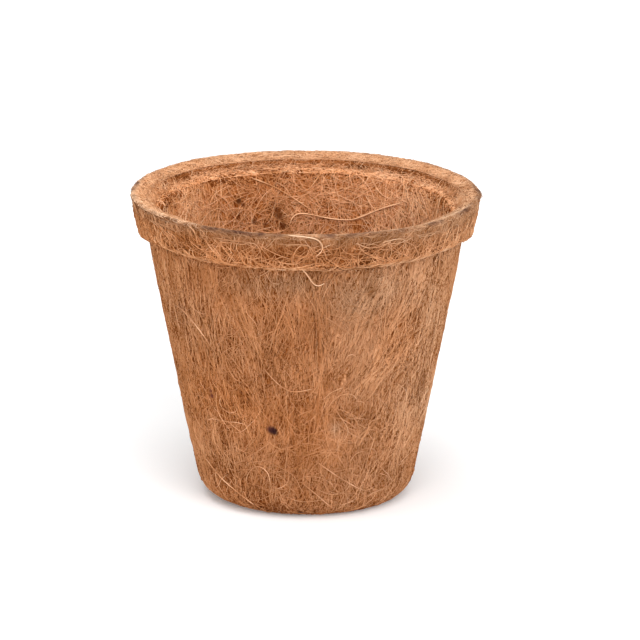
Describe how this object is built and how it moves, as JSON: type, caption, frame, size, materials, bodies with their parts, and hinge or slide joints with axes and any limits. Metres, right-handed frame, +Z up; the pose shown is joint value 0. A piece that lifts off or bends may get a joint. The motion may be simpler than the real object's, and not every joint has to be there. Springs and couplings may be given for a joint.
{
  "type": "coir plant pot",
  "caption": "Round tapered plant pot of pressed coconut fibre felt, with a raised collar round the rim, a lip that falls towards the mouth, a ledge inside it, a rounded heel and a flat closed base.",
  "frame": {"origin": "centre of the flat base, on the surface that the pot stands on", "axes": "+Z up along the pot's axis, front of the picture towards -Y, +X to its right"},
  "size_m": [0.0998, 0.1006, 0.0886],
  "materials": {
    "wall_coir": "matte pressed coconut fibre felt with near-vertical streaks",
    "floor_coir": "matte pressed coconut fibre felt, tangled",
    "collar_coir": "matte coconut fibre felt, a looser tangle than the wall",
    "loose_fibre": "pale single coconut fibres, slightly glossy"
  },
  "bodies": {
    "root": {"wall_felt": "wall_coir", "floor_felt": "floor_coir", "collar_felt": "collar_coir", "rim_curl_fibre": "loose_fibre", "collar_slant_fibre": "loose_fibre", "collar_foot_fibre": "loose_fibre", "collar_tail_fibre": "loose_fibre", "wall_left_fibre": "loose_fibre", "wall_bow_fibre": "loose_fibre", "wall_arch_fibre": "loose_fibre", "heel_slant_fibre": "loose_fibre", "heel_loop_fibre": "loose_fibre", "heel_short_fibre": "loose_fibre", "heel_wave_fibre": "loose_fibre", "mouth_slant_fibre": "loose_fibre", "mouth_long_fibre": "loose_fibre", "mouth_cross_fibre": "loose_fibre", "mouth_right_fibre": "loose_fibre"}
  },
  "joints": []
}
